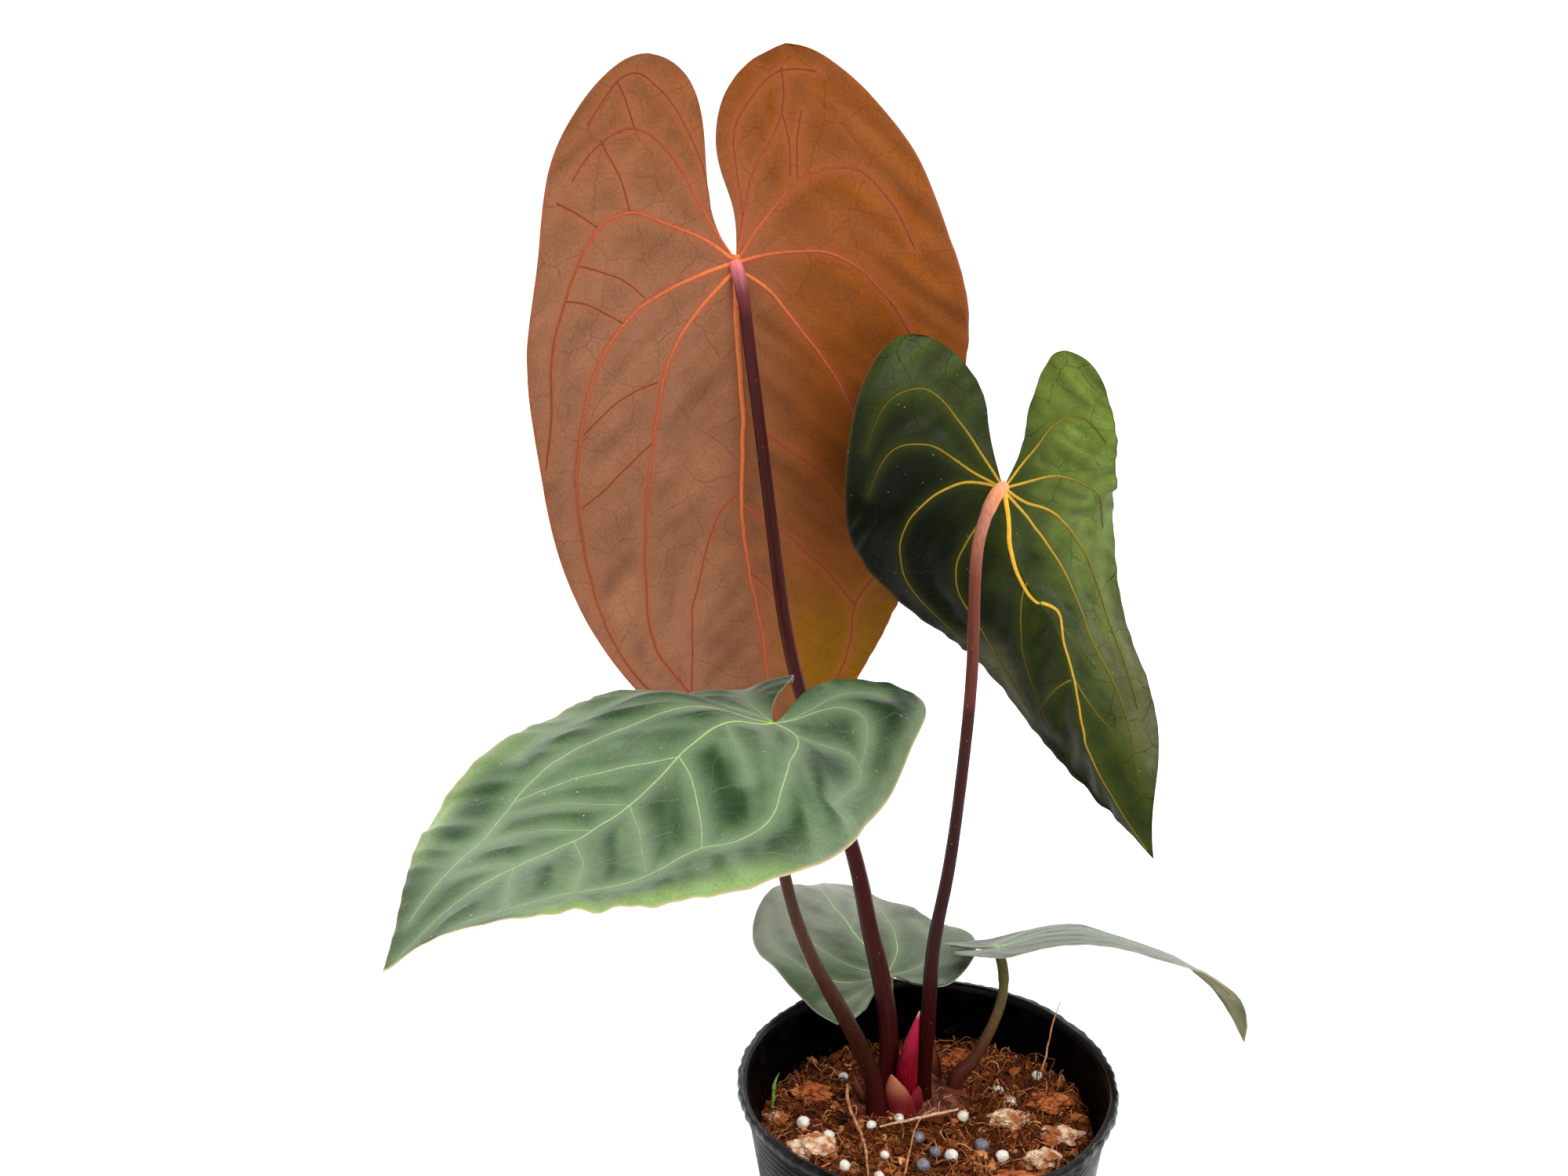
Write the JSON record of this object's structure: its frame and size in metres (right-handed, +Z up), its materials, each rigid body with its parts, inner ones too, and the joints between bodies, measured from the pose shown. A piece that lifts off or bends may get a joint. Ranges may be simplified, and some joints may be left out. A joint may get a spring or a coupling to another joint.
{
  "type": "potted anthurium",
  "caption": "Young foliage anthurium with heart-shaped leaves on slender stalks, growing in coir mix in a soft round nursery pot with drain holes.",
  "frame": {"origin": "centre of the pot's flat base, on the surface that it stands on", "axes": "+Z up, through the middle of the pot and along the plant's height; -Y is the front"},
  "size_m": [0.2179, 0.2001, 0.3609],
  "materials": {
    "pot_plastic": "satin",
    "coir_mix": "matte",
    "root_skin": "matte",
    "copper_leaf": "satin",
    "green_leaf": "satin",
    "maroon_stem": "satin",
    "olive_stem": "satin",
    "crimson_leaf": "satin",
    "papery_scale": "matte",
    "white_coat": "satin",
    "grey_coat": "satin",
    "pumice": "matte",
    "husk": "matte",
    "bark": "matte",
    "fibre": "matte",
    "seedling_green": "satin"
  },
  "bodies": {
    "root": {"back_crown_scale": "papery_scale", "bark_chip": "bark", "dark_leaf_blade": "green_leaf", "dark_leaf_petiole": "maroon_stem", "grey_granule_1": "grey_coat", "grey_granule_2": "grey_coat", "grey_granule_3": "grey_coat", "grey_granule_4": "grey_coat", "growing_medium": "coir_mix", "husk_chip_1": "husk", "husk_chip_2": "husk", "husk_chip_3": "husk", "husk_chip_4": "husk", "husk_chip_5": "husk", "husk_chip_6": "husk", "leaf_spear": "crimson_leaf", "left_crown_scale": "papery_scale", "long_fibre_left": "fibre", "long_fibre_right": "fibre", "low_leaf_blade": "green_leaf", "low_leaf_petiole": "maroon_stem", "nursery_pot": "pot_plastic", "pumice_1": "pumice", "pumice_2": "pumice", "pumice_3": "pumice", "pumice_4": "pumice", "pumice_5": "pumice", "pumice_6": "pumice", "right_crown_scale": "papery_scale", "rootstock": "root_skin", "seedling": "seedling_green", "side_leaf_blade": "green_leaf", "side_leaf_petiole": "olive_stem", "spear_sheath": "papery_scale", "spreading_leaf_blade": "green_leaf", "spreading_leaf_petiole": "olive_stem", "tall_leaf_blade": "copper_leaf", "tall_leaf_petiole": "maroon_stem", "twig": "husk", "white_granule_01": "white_coat", "white_granule_02": "white_coat", "white_granule_03": "white_coat", "white_granule_04": "white_coat", "white_granule_05": "white_coat", "white_granule_06": "white_coat", "white_granule_07": "white_coat", "white_granule_08": "white_coat", "white_granule_09": "white_coat", "white_granule_10": "white_coat", "white_granule_11": "white_coat", "white_granule_12": "white_coat", "white_granule_13": "white_coat", "white_granule_14": "white_coat"}
  },
  "joints": []
}
